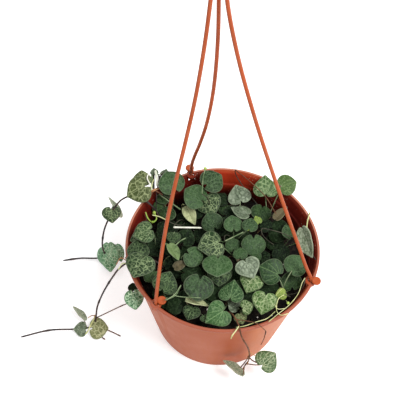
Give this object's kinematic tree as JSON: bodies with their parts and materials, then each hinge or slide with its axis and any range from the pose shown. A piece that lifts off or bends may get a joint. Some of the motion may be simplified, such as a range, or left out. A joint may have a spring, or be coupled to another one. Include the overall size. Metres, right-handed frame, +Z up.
{
  "type": "potted trailing houseplant in a hanging pot",
  "caption": "String of hearts with small round to heart-shaped leaves on thin trailing stems, in a round tapered plastic pot that hangs by a slim multi-arm hanger with a hook",
  "frame": {"origin": "centre of the pot's base, on the surface it stands on", "axes": "+Z up along the pot and its hanger, +X to the right and +Y to the back as seen from the side of the front trailing stem"},
  "size_m": [0.2062, 0.134, 0.3598],
  "materials": {
    "terracotta_plastic": "satin",
    "soil": "rough",
    "green_leaf": "satin",
    "silver_leaf": "satin"
  },
  "bodies": {
    "root": {"pot": "terracotta_plastic", "soil": "soil", "hanger_hook": "terracotta_plastic", "hanger_arm_left": "terracotta_plastic", "hanger_arm_right": "terracotta_plastic", "hanger_arm_back": "terracotta_plastic", "leafy_stem_back": "green_leaf", "leafy_stem_back_grey": "green_leaf", "leafy_stem_back_left": "green_leaf", "leafy_stem_back_right": "green_leaf", "leafy_stem_centre": "green_leaf", "leafy_stem_centre_back": "green_leaf", "leafy_stem_centre_front": "green_leaf", "leafy_stem_front": "green_leaf", "leafy_stem_front_hearts": "green_leaf", "leafy_stem_front_left": "green_leaf", "leafy_stem_front_right": "green_leaf", "leafy_stem_inner_left": "green_leaf", "leafy_stem_left": "green_leaf", "leafy_stem_left_back": "green_leaf", "leafy_stem_left_front": "green_leaf", "leafy_stem_right": "green_leaf", "leafy_stem_right_back": "green_leaf", "leafy_stem_right_centre": "green_leaf", "trailing_stem_front": "silver_leaf", "trailing_stem_left": "silver_leaf", "trailing_stem_left_back": "silver_leaf"}
  },
  "joints": []
}
